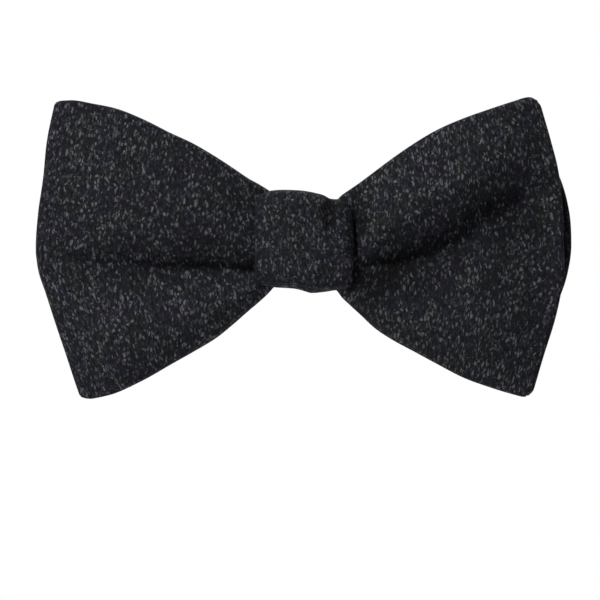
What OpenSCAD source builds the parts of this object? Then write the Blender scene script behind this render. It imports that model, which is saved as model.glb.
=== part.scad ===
// Ready-tied bow tie with an adjustable neckband.
// Frame: +Z up, the front of the bow faces -Y, and the origin is the centre of
// the collar opening at half the height of the neckband. Millimetres.
// Angles "phi" run round the collar from the front (-Y), positive to -X.

/* [Bow] */
// Width of the bow, tip to tip
bow_w = 120; // [112:1:130]
// Scale of the bow's height, 1 is 67 mm from tip to tip
bow_k = 1; // [0.95:0.01:1.04]
// Thickness of one padded ply of the bow
ply_t = 2; // [1.8:0.1:2]
// Thickness of the face fabric and of the lining
cloth_t = 0.5; // [0.4:0.05:0.5]
// Outer radius of the folded wing ends
fold_r = 2.6; // [2.4:0.1:2.8]
// Height of the two lobes beside the crease of each wing
lobe_k = 1; // [0.6:0.05:1.1]

/* [Knot] */
// Width of the knot wrap
knot_w = 22; // [21:0.5:23]
// Thickness of the knot wrap with its interlining
wrap_t = 1.4; // [1.2:0.05:1.4]

/* [Neckband] */
// Inner radius of the band round the collar
collar_r = 58; // [57.5:0.1:58]
// Width of the neckband
band_w = 15; // [13.8:0.1:15.5]
// Thickness of the neckband
band_t = 1.2; // [1:0.05:1.2]
// Wall of the fabric cover round the stiffener
cover_t = 0.32; // [0.25:0.01:0.35]

/* [Hardware] */
// Wire diameter of the slide adjuster and hook
wire_d = 1.4; // [1.2:0.1:1.4]
// Wire diameter of the eye
eye_wire_d = 1.2; // [1:0.1:1.2]
// Angle of the slide adjuster round the collar
slide_phi = 100; // [96:1:104]

/* [Hidden] */
$fn = 48;

cloth = [0.13, 0.135, 0.155];
lining = [0.11, 0.115, 0.13];
canvas = [0.82, 0.80, 0.74];
thread = [0.08, 0.08, 0.09];
metal = [0.72, 0.72, 0.74];

kx = bow_w / 120;
gap = 0.1;                 // clearance between plies in the knot
step_y = ply_t + gap;
wrap_back = -collar_r - 0.5;              // outer back face of the knot wrap
band_y = wrap_back - wrap_t - 0.4;        // inner face of the band in the knot
rear_y = band_y - band_t - 0.2;           // back face of the rear plies
front_y = rear_y - 3 * ply_t - 2 * gap;   // front face of the front ply at the knot
fold_sep = 2 * fold_r - ply_t;            // front face to front face across a fold

// ---- smooth curve through a table of [x, y] ----
function seg(t, x, i = 0) = (i >= len(t) - 2 || x < t[i + 1][0]) ? i : seg(t, x, i + 1);
function slope(t, i) = let(a = max(i - 1, 0), b = min(i + 1, len(t) - 1))
    (t[b][1] - t[a][1]) / (t[b][0] - t[a][0]);
function curve(t, x) = let(
    i = seg(t, x), h = t[i + 1][0] - t[i][0],
    s = max(0, min(1, (x - t[i][0]) / h)), s2 = s * s, s3 = s2 * s)
    (2 * s3 - 3 * s2 + 1) * t[i][1] + (s3 - 2 * s2 + s) * h * slope(t, i)
    + (3 * s2 - 2 * s3) * t[i + 1][1] + (s3 - s2) * h * slope(t, i + 1);
function smooth(a, b, x) = let(s = max(0, min(1, (x - a) / (b - a)))) s * s * (3 - 2 * s);
function mix(a, b, s) = a + (b - a) * s;

// ---- outline of the bow, distances from the middle of the knot ----
top_l = [[0, 9], [4, 9], [8, 9], [10.9, 9.1], [12.6, 13.6], [16, 16.2], [20, 18.8],
         [25, 21.7], [30, 24], [36, 27], [42, 29.4], [48, 30.7], [52, 31.4], [56, 31.2], [60, 31]];
bot_l = [[0, -8.8], [4, -8.8], [8, -8.8], [10.9, -8.9], [12.6, -15.4], [16, -18.8], [20, -22],
         [25, -25], [30, -27.8], [36, -31.2], [42, -34], [46, -35.1], [50, -35.7], [60, -36]];
top_r = [[0, 9], [3, 8.2], [6, 7.4], [8, 7.3], [10.9, 7.3], [12.6, 12.7], [16, 15.5], [20, 18.5],
         [25, 21.9], [30, 24.8], [36, 27.4], [42, 29.5], [47, 31.1], [50.5, 32.1], [53, 31.9], [60, 31.5]];
bot_r = [[0, -8.8], [3, -9.3], [8, -9.3], [10.9, -9.4], [12.6, -16.4], [16, -20], [20, -22.6],
         [25, -25.2], [30, -27.8], [36, -30.8], [42, -32.9], [47, -34.4], [50, -35.1], [60, -36]];
// outer ends, against the share v of the height, -1 at the bottom and 1 at the top
end_loop_l = [[-1, 49.6], [-0.75, 52.9], [-0.5, 55.7], [-0.3, 57.9], [-0.15, 59.6], [0, 60.2],
              [0.25, 59.6], [0.5, 58.4], [0.75, 57.6], [1, 55.8]];
end_blade_r = [[-1, 50.5], [-0.75, 53.3], [-0.5, 55.7], [-0.3, 57.6], [-0.15, 58.5], [0, 58.4],
               [0.25, 58.2], [0.5, 57.2], [0.75, 55], [1, 52.3]];
end_loop_r = [[-1, 48.5], [-0.75, 51.6], [-0.5, 54.8], [-0.3, 57.9], [-0.15, 59.7], [0, 60.1],
              [0.25, 59.4], [0.5, 57.4], [0.75, 53.8], [1, 50.2]];
// height of the crease of each wing, and the forward height of its lobes
crease_l = [[0, -2], [8, -4.5], [11, -6.3], [30, -4.6], [50, -2.7], [62, -2.2]];
crease_r = [[0, -2], [8, -5.5], [11, -7.6], [20, -3.2], [30, 2.3], [40, 7.8], [47, 11.2], [62, 15]];
lobe = [[0, 0.7], [10.8, 0.8], [13, 2], [17, 4], [22, 4.7], [30, 4.2], [40, 3], [50, 2], [62, 1.2]];
open_1 = [[0, 0], [10.8, 0], [16, 0.7], [25, 1.5], [40, 1.7], [52, 1], [62, 0.6]];
open_2 = [[0, 0], [10.8, 0], [16, 0.3], [25, 0.7], [40, 0.8], [52, 0.5], [62, 0.3]];

function top(s, x, k) = bow_k * k * curve(s < 0 ? top_l : top_r, x);
function bot(s, x, k) = bow_k * k * curve(s < 0 ? bot_l : bot_r, x);
function crease(s, x) = curve(s < 0 ? crease_l : crease_r, x);
// 0 in the crease (w = 0), 1 on the crown of a lobe, less at the edge (w = -1 or 1)
function lobe_shape(t) = sin(155 * pow(min(1, t), 0.78));
function puff(x, w) = lobe_k * curve(lobe, x) * lobe_shape(abs(w));

// Outer end of a ply: lay 1 is the front ply, 2 the middle one and 3 the rear one.
function is_loop(s, lay) = s < 0 ? lay < 3 : lay > 1;
function ply_end(s, lay, v) =
    s < 0 ? (lay < 3 ? curve(end_loop_l, v) - fold_r : 0.965 * curve(end_loop_l, v))
          : (lay > 1 ? curve(end_loop_r, v) - fold_r : curve(end_blade_r, v));
function ply_k(s, lay) = s < 0 ? (lay < 3 ? 1 : 0.965) : (lay > 1 ? 0.975 : 1);
// Share of the height at the outer end for a point w of the way from the crease
function share(s, w) = let(a = top(s, 55, 1), b = bot(s, 55, 1), c = crease(s, 55))
    2 * ((w < 0 ? mix(c, b, -w) : mix(c, a, w)) - b) / (a - b) - 1;
function ply_x(s, lay, u, w) = 55 * u + (ply_end(s, lay, share(s, w)) - 55) * u * u * u;
function ply_z(s, lay, u, w) = mix(crease(s, ply_x(s, lay, u, 0)),
    w < 0 ? bot(s, ply_x(s, lay, u, -1), ply_k(s, lay)) : top(s, ply_x(s, lay, u, 1), ply_k(s, lay)), abs(w));
// Front face of each ply at x, w. u is only used to close the folded ends.
function face_1(s, x, w) = front_y - puff(x, w) - curve(open_1, x) - curve(open_2, x);
function face_2(s, x, w, u) = face_1(s, x, w) + (s < 0
    ? mix(step_y + 0.65 * puff(x, w) + curve(open_1, x), fold_sep, smooth(0.8, 1, u))
    : step_y + 0.65 * puff(x, w) + curve(open_1, x));
function face_3(s, x, w, u) = s < 0
    ? front_y + 2 * step_y - 0.1 * puff(x, w)
    : mix(front_y + 2 * step_y - 0.1 * puff(x, w), face_2(s, x, w, u) + fold_sep, smooth(0.8, 1, u));
function face_y(s, lay, x, w, u) = lay == 1 ? face_1(s, x, w) : lay == 2 ? face_2(s, x, w, u) : face_3(s, x, w, u);

// A point of a ply, d mm in from its front (from_front) or from its back.
function ply_pt(s, lay, u, w, d, from_front) = let(
    x = ply_x(s, lay, u, w), z = ply_z(s, lay, u, w), y = face_y(s, lay, x, w, u))
    [s * x * kx, from_front ? y + d : y + ply_t - d, z];
// A point of the fold at the end of a loop; a runs from -90 (front) to 90 (back).
function fold_pt(s, lay, w, d, a) = let(
    x = ply_x(s, lay, 1, w), z = ply_z(s, lay, 1, w), y = face_y(s, lay, x, w, 1) + fold_r)
    [s * (x + (fold_r - d) * cos(a)) * kx, y + (fold_r - d) * sin(a), z];

us = [0, 0.07, 0.135, 0.175, 0.205, 0.235, 0.29, 0.37, 0.48, 0.62, 0.8, 0.92, 1];
nu = len(us) - 1;
nv = 12;
function vs(j) = -1 + 2 * j / nv;
folds = [-50, -17, 17, 50];
// Columns of a bow strip, from the inner end of the folded wing to the flat end.
// Each is [kind, side, lay, u or angle].
front_cols = concat(
    [for (i = [0:nu]) ["back", -1, 2, i == 0 ? 0.02 : us[i]]],
    [for (i = [0:3]) ["fold", -1, 1, folds[3 - i]]],
    [for (i = [0:nu]) ["front", -1, 1, us[nu - i]]],
    [for (i = [1:nu]) ["front", 1, 1, us[i]]]);
back_cols = concat(
    [for (i = [0:nu]) ["front", 1, 2, i == 0 ? 0.02 : us[i]]],
    [for (i = [0:3]) ["fold", 1, 2, folds[i]]],
    [for (i = [0:nu]) ["back", 1, 3, us[nu - i]]],
    [for (i = [1:nu]) ["back", -1, 3, us[i]]]);
function col_pt(c, v, d) = c[0] == "fold" ? fold_pt(c[1], c[2], v, d, c[3])
                                          : ply_pt(c[1], c[2], c[3], v, d, c[0] == "front");

// A layer of a strip between depths d0 and d1 from its outer side.
module strip(cols, d0, d1, flip) {
    m = nv + 1;
    nc = len(cols);
    pts = concat([for (c = cols) for (j = [0:nv]) col_pt(c, vs(j), d0)],
                 [for (c = cols) for (j = [0:nv]) col_pt(c, vs(j), d1)]);
    o = nc * m;
    quads = concat(
        [for (i = [0:nc - 2]) for (j = [0:nv - 1])
            [i * m + j, i * m + j + 1, (i + 1) * m + j + 1, (i + 1) * m + j]],
        [for (i = [0:nc - 2]) for (j = [0:nv - 1])
            [o + i * m + j, o + (i + 1) * m + j, o + (i + 1) * m + j + 1, o + i * m + j + 1]],
        [for (i = [0:nc - 2]) [i * m, (i + 1) * m, o + (i + 1) * m, o + i * m]],
        [for (i = [0:nc - 2]) [i * m + nv, o + i * m + nv, o + (i + 1) * m + nv, (i + 1) * m + nv]],
        [for (j = [0:nv - 1]) [j, o + j, o + j + 1, j + 1]],
        [for (j = [0:nv - 1]) let(b = (nc - 1) * m) [b + j, b + j + 1, o + b + j + 1, o + b + j]]);
    tris = [for (q = quads) each [[q[0], q[1], q[2]], [q[0], q[2], q[3]]]];
    polyhedron(points = pts, faces = flip ? [for (t = tris) [t[0], t[2], t[1]]] : tris);
}

module front_bow_face() color(cloth) strip(front_cols, 0, cloth_t, false);
module front_bow_interlining() color(canvas) strip(front_cols, cloth_t + 0.05, ply_t - cloth_t - 0.05, false);
module front_bow_lining() color(lining) strip(front_cols, ply_t - cloth_t, ply_t, false);
module back_bow_face() color(cloth) strip(back_cols, 0, cloth_t, true);
module back_bow_interlining() color(canvas) strip(back_cols, cloth_t + 0.05, ply_t - cloth_t - 0.05, true);
module back_bow_lining() color(lining) strip(back_cols, ply_t - cloth_t, ply_t, true);

// ---- knot ----
knot_top = [[-11, 11.1], [-7, 11.1], [-4, 11.2], [0, 11], [3, 10.3], [6, 9.6], [8, 9.4], [11, 9.4]];
knot_bot = [[-11, -11], [-7, -10.9], [-4, -10.9], [0, -11.2], [3, -11.6], [6, -11.5], [8, -11.5], [11, -11.5]];
knot_front = [[-11, 3.2], [-8, 4.2], [-3, 4.8], [2, 4.8], [7, 4.2], [11, 3.2]];
// Section of the wrap at x, d mm in from its outside: a box with round corners
// and a crowned front. Points run round it once.
nc_knot = 5;
function knot_pt(x, i, d) = let(
    zt = curve(knot_top, x) * bow_k - d, zb = curve(knot_bot, x) * bow_k + d,
    yf = front_y - curve(knot_front, x) + d, yb = wrap_back - d,
    r = 4 - d, side = floor(i / (nc_knot + 4)), k = i % (nc_knot + 4),
    cy = side == 0 || side == 3 ? yf + r : yb - r,
    cz = side < 2 ? zt - r : zb + r,
    // corner arc, then three points along the edge that follows it
    a0 = [180, 90, 0, -90][side],
    a = a0 - 90 * min(k, nc_knot) / nc_knot,
    ny = side == 0 ? yb - r : side == 1 ? yb : side == 2 ? yf + r : yf,
    nz = side == 0 ? zt : side == 1 ? zb + r : side == 2 ? zb : zt - r,
    p = [cy + r * cos(a), cz + r * sin(a)],
    q = k <= nc_knot ? p : mix(p, [ny, nz], (k - nc_knot) / 4),
    m = (zt + zb) / 2, h = (zt - zb) / 2,
    crown = side == 3 || (side == 0 && k < nc_knot) ? 0.6 * max(0, 1 - pow((q[1] - m) / h, 2)) : 0)
    [x, q[0] - crown, q[1]];
nk = 4 * (nc_knot + 4);
nx_knot = 14;
module knot_tube(d0, d1) {
    xs = [for (i = [0:nx_knot]) (i / nx_knot - 0.5) * knot_w];
    m = nk;
    o = len(xs) * m;
    pts = concat([for (x = xs) for (i = [0:nk - 1]) knot_pt(x, i, d0)],
                 [for (x = xs) for (i = [0:nk - 1]) knot_pt(x, i, d1)]);
    e = len(xs) - 1;
    quads = concat(
        [for (i = [0:e - 1]) for (j = [0:m - 1]) let(n = (j + 1) % m)
            [i * m + j, i * m + n, (i + 1) * m + n, (i + 1) * m + j]],
        [for (i = [0:e - 1]) for (j = [0:m - 1]) let(n = (j + 1) % m)
            [o + i * m + j, o + (i + 1) * m + j, o + (i + 1) * m + n, o + i * m + n]],
        [for (j = [0:m - 1]) let(n = (j + 1) % m) [j, o + j, o + n, n]],
        [for (j = [0:m - 1]) let(n = (j + 1) % m) [e * m + j, e * m + n, o + e * m + n, o + e * m + j]]);
    tris = [for (q = quads) each [[q[0], q[2], q[1]], [q[0], q[3], q[2]]]];
    polyhedron(points = pts, faces = tris);
}
module knot_wrap() color(cloth) knot_tube(0, cloth_t);
module knot_interlining() color(canvas) knot_tube(cloth_t + 0.05, wrap_t);
module knot_stitches() color(thread)
    for (i = [-4:4]) translate([i * 2.3, wrap_back + 0.2, -1.2]) cylinder(r = 0.2, h = 2.4);

// ---- neckband ----
out_r = collar_r + 4;         // inner radius of the adjustable side, outside the doubled part
function bx(phi, r) = -r * sin(phi);
function by(phi, r) = -r * cos(phi);
module at_phi(phi) rotate([0, 0, -phi]) children();
// Band from angle a to b, between two radii, h high
module arc(a, b, r0, r1, h) rotate([0, 0, 270 - b]) rotate_extrude(angle = b - a, $fn = 96)
    translate([r0, -h / 2]) square([r1 - r0, h]);
// Inner radius of the part that runs straight through the knot and joins the two sides
function mid_r(phi) = phi > 0 ? mix(-band_y / cos(phi), out_r, smooth(8, 22, phi))
                              : mix(-band_y / cos(phi), collar_r + 0.02, smooth(9, 28, -phi));
flex_phi = 45;
flex_gap = 0.5;
knot_band_w = band_w - 1.4;   // the band is narrower where the knot grips it
// The run from one flex line to the other, d0 to d1 from its inner face, inset
// e from its edges and carried over degrees past its ends
module centre_run(d0, d1, e, over) {
    lim = flex_phi - flex_gap + over;
    n = 46;
    angs = [for (i = [0:n]) -lim + 2 * lim * i / n];
    difference() {
        linear_extrude(band_w - 2 * e, center = true) polygon(concat(
            [for (p = angs) [bx(p, mid_r(p) + d0), by(p, mid_r(p) + d0)]],
            [for (i = [n:-1:0]) [bx(angs[i], mid_r(angs[i]) + d1), by(angs[i], mid_r(angs[i]) + d1)]]));
        for (s = [-1, 1]) translate([0, band_y, s * (knot_band_w / 2 - e + 5)])
            cube([23 + 2 * e, 10, 10], center = true);
    }
}
module band_centre_cover() color(cloth) difference() {
    centre_run(0, band_t, 0, 0);
    centre_run(cover_t, band_t - cover_t, cover_t, 0.8);
}
module band_centre_stiffener() color(canvas)
    centre_run(cover_t + 0.05, band_t - cover_t - 0.05, cover_t + 0.05, 0);

module cover(a, b, r, h) difference() {
    arc(a, b, r, r + band_t, h);
    arc(a - 1, b + 1, r + cover_t, r + band_t - cover_t, h - 2 * cover_t);
}
module stiffener(a, b, r, h) arc(a, b, r + cover_t + 0.05, r + band_t - cover_t - 0.05, h - 2 * cover_t - 0.1);

// adjustable side: outer run, folded hook end, and the slide on it
left_end = 153;      // end of the outer run, inside the folded end at every setting
loop_phi = 172;      // centre of the fold that holds the hook
loop_in = collar_r;  // the inner run of the fold lies on the collar
loop_c = (collar_r + out_r + band_t + 0.2 + band_t) / 2;
loop_or = loop_c - collar_r;
module left_band_cover() color(cloth) cover(flex_phi + flex_gap, left_end, out_r, band_w);
module left_band_stiffener() color(canvas) stiffener(flex_phi + flex_gap, left_end, out_r, band_w);
module hook_end_loop() color(cloth) {
    arc(125, loop_phi, collar_r, collar_r + band_t, band_w);
    arc(134, loop_phi, out_r + band_t + 0.2, out_r + 2 * band_t + 0.2, band_w);
    at_phi(loop_phi) translate([0, -loop_c, 0]) difference() {
        cylinder(r = loop_or, h = band_w, center = true);
        cylinder(r = loop_or - band_t, h = band_w + 1, center = true);
        translate([20, 0, 0]) cube([40, 40, band_w + 2], center = true);
    }
}

// A round wire from p to q
module rod(p, q, r) {
    v = q - p;
    l = norm(v);
    translate(p) rotate([0, acos(v[2] / l), atan2(v[1], v[0])]) cylinder(r = r, h = l, $fn = 32);
}
module ball(p, r) translate(p) sphere(r = r, $fn = 32);
module path(pts, r) {
    for (i = [0:len(pts) - 2]) rod(pts[i], pts[i + 1], r);
    for (p = pts) ball(p, r);
}
slide_c = collar_r + 1.9;              // the slide's middle bar
slide_o = out_r + band_t + 1;          // its outer bars
slide_h = band_w / 2 + 1.2;
slide_a = 5.1;                         // half its width, in degrees
module slide_adjuster() color(metal) at_phi(slide_phi) {
    w = wire_d / 2;
    l = [bx(slide_a, slide_o), by(slide_a, slide_o)];
    for (s = [-1, 1]) {
        rod([s * l[0], l[1], -slide_h], [s * l[0], l[1], slide_h], w);
        for (z = [-slide_h, slide_h]) {
            rod([s * l[0], l[1], z], [0, -slide_c, z], w);
            ball([s * l[0], l[1], z], w);
        }
    }
    rod([0, -slide_c, -slide_h], [0, -slide_c, slide_h], w);
    for (z = [-slide_h, slide_h]) ball([0, -slide_c, z], w);
}
tab_t = 0.9;
module slide_tab() color(cloth) {
    arc(slide_phi + 1.6, 145, collar_r + 1.4, collar_r + 2.3, band_w - 1);
    at_phi(slide_phi) translate([0, -slide_c, 0]) difference() {
        cylinder(r = wire_d / 2 + 0.15 + tab_t, h = band_w - 1, center = true);
        cylinder(r = wire_d / 2 + 0.1, h = band_w, center = true);
    }
}
module slide_tab_stitches() color(thread)
    for (z = [-6:1.5:6]) at_phi(slide_phi + 3.6) translate([0.9, -(collar_r + 2.5), z])
        rotate([0, -90, 0]) cylinder(r = 0.18, h = 1.8, $fn = 16);

hook_phi = loop_phi + 1.2;
hook_h = band_w / 2 + 1.3;
module band_hook() color(metal) at_phi(hook_phi) translate([0, -loop_c, 0]) {
    w = wire_d / 2;
    path([[0, 0, hook_h], [0, 0, -hook_h], [-6, 0, -hook_h], [-6, 0, hook_h], [0, 0, hook_h]], w);
    // tongue and its curl
    translate([-11.5, -0.5, -3]) cube([5.5, 1, 6]);
    translate([-11.5, -1.7, 0]) rotate([0, 0, 90]) rotate_extrude(angle = 180, $fn = 48)
        translate([1.2, -3]) square([1, 6]);
    translate([-11.5, -3.9, -3]) cube([3, 1, 6]);
}

// fixed side: run to the eye
eye_phi = -152;
eye_c = collar_r + 1.65;
module right_band_cover() color(cloth) cover(eye_phi + 1.7, -flex_phi - flex_gap, collar_r, band_w);
module right_band_stiffener() color(canvas) stiffener(eye_phi + 1.7, -flex_phi - flex_gap, collar_r, band_w);
module eye_tab() color(cloth) {
    arc(eye_phi + 1.2, eye_phi + 9, collar_r + band_t + 0.05, collar_r + band_t + 0.75, band_w - 1);
    at_phi(eye_phi) translate([0, -eye_c, 0]) difference() {
        cylinder(r = eye_wire_d / 2 + 1, h = band_w - 1, center = true);
        cylinder(r = eye_wire_d / 2 + 0.1, h = band_w, center = true);
    }
}
module eye_tab_stitches() color(thread)
    for (z = [-6:1.5:6]) at_phi(eye_phi + 7) translate([0.9, -(collar_r + band_t + 0.95), z])
        rotate([0, -90, 0]) cylinder(r = 0.18, h = 1.8, $fn = 16);
eye_h = band_w / 2 + 1.3;
module band_eye() color(metal) at_phi(eye_phi) translate([0, -eye_c, 0])
    path([[0, 0, eye_h], [0, 0, -eye_h], [8, 0, -eye_h], [8, 0, eye_h], [0, 0, eye_h]], eye_wire_d / 2);

front_bow_face();
front_bow_interlining();
front_bow_lining();
back_bow_face();
back_bow_interlining();
back_bow_lining();
knot_wrap();
knot_interlining();
knot_stitches();
band_centre_cover();
band_centre_stiffener();
left_band_cover();
left_band_stiffener();
hook_end_loop();
slide_adjuster();
slide_tab();
slide_tab_stitches();
band_hook();
right_band_cover();
right_band_stiffener();
eye_tab();
eye_tab_stitches();
band_eye();
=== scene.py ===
"""Looks of the ready-tied bow tie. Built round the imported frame, in metres."""
import math

import bmesh
import bpy
import numpy as np
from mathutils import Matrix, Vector


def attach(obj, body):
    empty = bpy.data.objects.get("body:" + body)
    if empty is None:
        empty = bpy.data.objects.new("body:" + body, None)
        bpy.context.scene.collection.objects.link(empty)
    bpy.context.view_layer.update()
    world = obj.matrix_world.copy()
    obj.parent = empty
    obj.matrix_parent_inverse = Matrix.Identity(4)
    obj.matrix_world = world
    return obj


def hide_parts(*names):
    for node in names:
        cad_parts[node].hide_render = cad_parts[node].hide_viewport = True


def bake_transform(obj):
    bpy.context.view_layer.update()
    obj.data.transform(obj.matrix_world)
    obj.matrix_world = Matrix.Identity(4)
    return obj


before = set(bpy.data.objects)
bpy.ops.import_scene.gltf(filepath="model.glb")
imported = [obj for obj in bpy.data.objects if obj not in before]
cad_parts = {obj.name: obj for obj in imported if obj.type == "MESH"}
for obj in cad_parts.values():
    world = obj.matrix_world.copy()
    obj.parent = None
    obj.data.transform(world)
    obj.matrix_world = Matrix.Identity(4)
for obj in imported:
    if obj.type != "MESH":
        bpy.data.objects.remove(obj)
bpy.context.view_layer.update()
scene = bpy.context.scene
MM = 0.001


# ------------------------------------------------------------------ camera
CAM_D = 0.70                     # from the bow's front
BOW_Y = -0.072
VIEW_W = 600 / 4.458 * MM        # width seen at the bow's front
cam_data = bpy.data.cameras.new("camera")
cam_data.sensor_width = 36
cam_data.lens = 36 * CAM_D / VIEW_W
cam = bpy.data.objects.new("camera", cam_data)
scene.collection.objects.link(cam)
# the bow's knot sits 1 px right of and 60 px above the middle of the view
cam.location = (-4 / 4.458 * MM, BOW_Y - CAM_D, 0)
cam.rotation_euler = (math.radians(90), 0, 0)
cam_data.shift_y = -60 / 600
cam_data.clip_start, cam_data.clip_end = 0.05, 20
scene.camera = cam


# ------------------------------------------------------------------ curves
def curve(table, x):
    """The same smooth curve through [x, y] points that part.scad uses, vectorised."""
    t = np.array(table, float)
    x = np.asarray(x, float)
    i = np.clip(np.searchsorted(t[:, 0], x, side="right") - 1, 0, len(t) - 2)
    a, b = np.maximum(np.arange(len(t)) - 1, 0), np.minimum(np.arange(len(t)) + 1, len(t) - 1)
    m = (t[b, 1] - t[a, 1]) / (t[b, 0] - t[a, 0])
    h = t[i + 1, 0] - t[i, 0]
    s = np.clip((x - t[i, 0]) / h, 0, 1)
    s2, s3 = s * s, s ** 3
    return ((2 * s3 - 3 * s2 + 1) * t[i, 1] + (s3 - 2 * s2 + s) * h * m[i]
            + (3 * s2 - 2 * s3) * t[i + 1, 1] + (s3 - s2) * h * m[i + 1])


def smooth(a, b, x):
    s = np.clip((np.asarray(x, float) - a) / (b - a), 0, 1)
    return s * s * (3 - 2 * s)


def mix(a, b, s):
    return a + (b - a) * s


def noise(x, z, seed, scale):
    """Smooth repeatable unevenness from -1 to 1."""
    r = np.random.default_rng(seed)
    out = np.zeros(np.broadcast(x, z).shape)
    for k in range(7):
        a = r.uniform(0, 2 * math.pi)
        f = (0.6 + 0.28 * k) / scale
        out = out + np.sin((x * math.cos(a) + z * math.sin(a)) * f * 2 * math.pi
                           + r.uniform(0, 2 * math.pi)) / (1 + 0.5 * k)
    return out / 3


# ------------------------------------------------------------------ meshes
def make(name, verts, faces, uvs, mats, face_mat=None):
    mesh = bpy.data.meshes.new(name)
    mesh.from_pydata([tuple(v) for v in verts], [], faces)
    layer = mesh.uv_layers.new(name="cloth")
    idx = np.zeros(len(mesh.loops), np.int32)
    mesh.loops.foreach_get("vertex_index", idx)
    uvs = np.asarray(uvs, np.float32)
    layer.data.foreach_set("uv", uvs[idx, :2].ravel())
    # the crease attribute holds painted shade, 0 to 1, which darkens the cloth colour
    painted_shade = mesh.attributes.new("crease", "FLOAT", "POINT")
    painted_shade.data.foreach_set("value", uvs[:, 2] if uvs.shape[1] > 2 else np.zeros(len(uvs), np.float32))
    for m in mats:
        mesh.materials.append(m)
    if face_mat is not None:
        mesh.polygons.foreach_set("material_index", np.asarray(face_mat, np.int32))
    mesh.polygons.foreach_set("use_smooth", np.ones(len(mesh.polygons), bool))
    o = bpy.data.objects.new(name, mesh)
    scene.collection.objects.link(o)
    bm = bmesh.new()
    bm.from_mesh(mesh)
    bmesh.ops.recalc_face_normals(bm, faces=bm.faces)
    bm.to_mesh(mesh)
    bm.free()
    mesh.update()
    return o


def slab(name, outer, inner, uv, mats, closed_u=False, round_rows=3, corner=1.22):
    """A padded ply: two grids (n x m x 3) joined round the rim by a rounded edge."""
    n, m, _ = outer.shape
    verts, uvs, faces, fm = [], [], [], []

    def add(grid, uvg):
        o = len(verts)
        verts.extend(grid.reshape(-1, 3))
        uvs.extend(uvg.reshape(-1, uvg.shape[-1]))
        return o

    oo, oi = add(outer, uv), add(inner, uv)
    ir = range(n if closed_u else n - 1)
    for i in ir:
        k = (i + 1) % n
        for j in range(m - 1):
            faces.append((oo + i * m + j, oo + k * m + j, oo + k * m + j + 1, oo + i * m + j + 1)); fm.append(0)
            faces.append((oi + i * m + j, oi + i * m + j + 1, oi + k * m + j + 1, oi + k * m + j)); fm.append(1)
    # the rim, as one closed run of (outer, inner) index pairs with its outward direction
    def rim(pairs, out_dir, close, uv_dir):
        rows = []
        for (a, b), d, ud in zip(pairs, out_dir, uv_dir):
            pa, pb = np.array(verts[a]), np.array(verts[b])
            c, h = (pa + pb) / 2, (pa - pb) / 2
            r = np.linalg.norm(h)
            row = [a]
            for q in range(1, round_rows + 1):
                t = math.pi * q / (round_rows + 1)
                verts.append(c + h * math.cos(t) + d * r * 0.95 * math.sin(t))
                # the cloth runs on over the edge and comes back, so nothing on it is stretched
                go = math.pi * r / 2 * (1 - abs(1 - 2 * q / (round_rows + 1)))
                w_ = np.array(uvs[a], float)
                w_[:2] += ud * go
                uvs.append(w_)
                row.append(len(verts) - 1)
            row.append(b)
            rows.append(row)
        cnt = len(rows)
        for i in range(cnt if close else cnt - 1):
            k = (i + 1) % cnt
            for q in range(round_rows + 1):
                faces.append((rows[i][q], rows[i][q + 1], rows[k][q + 1], rows[k][q])); fm.append(0)

    def direction(i, j):
        mid = (outer + inner) / 2
        i0, i1 = (i - 1) % n if closed_u else max(i - 1, 0), (i + 1) % n if closed_u else min(i + 1, n - 1)
        j0, j1 = max(j - 1, 0), min(j + 1, m - 1)
        tu, tv = mid[i1, j] - mid[i0, j], mid[i, j1] - mid[i, j0]
        tu, tv = tu / (np.linalg.norm(tu) + 1e-12), tv / (np.linalg.norm(tv) + 1e-12)
        d = np.zeros(3)
        if j == 0: d -= tv
        if j == m - 1: d += tv
        if not closed_u and i == 0: d -= tu
        if not closed_u and i == n - 1: d += tu
        both = j in (0, m - 1) and not closed_u and i in (0, n - 1)
        if both and corner == 1.0:       # on a turned corner, halfway between its two neighbours
            d = direction(i, 1 if j == 0 else m - 2) + direction(1 if i == 0 else n - 2, j)
        return d / (np.linalg.norm(d) + 1e-12) * (corner if both else 1)

    def uv_direction(i, j):
        return np.array([0.0 if closed_u or 0 < i < n - 1 else (-1.0 if i == 0 else 1.0),
                         0.0 if 0 < j < m - 1 else (-1.0 if j == 0 else 1.0)]) * (1.0 if not closed_u else 1.0)

    if closed_u:
        for j in (0, m - 1):
            ids = [(i, j) for i in range(n)]
            rim([(oo + i * m + j, oi + i * m + j) for i, j in ids], [direction(i, j) for i, j in ids], True,
                [np.array([-1.0 if j == 0 else 1.0, 0.0]) for _ in ids])
    else:
        ids = ([(i, 0) for i in range(n)] + [(n - 1, j) for j in range(1, m)]
               + [(i, m - 1) for i in range(n - 2, -1, -1)] + [(0, j) for j in range(m - 2, 0, -1)])
        rim([(oo + i * m + j, oi + i * m + j) for i, j in ids], [direction(i, j) for i, j in ids], True,
            [uv_direction(i, j) for i, j in ids])
    return make(name, verts, faces, uvs, mats, fm)


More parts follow.
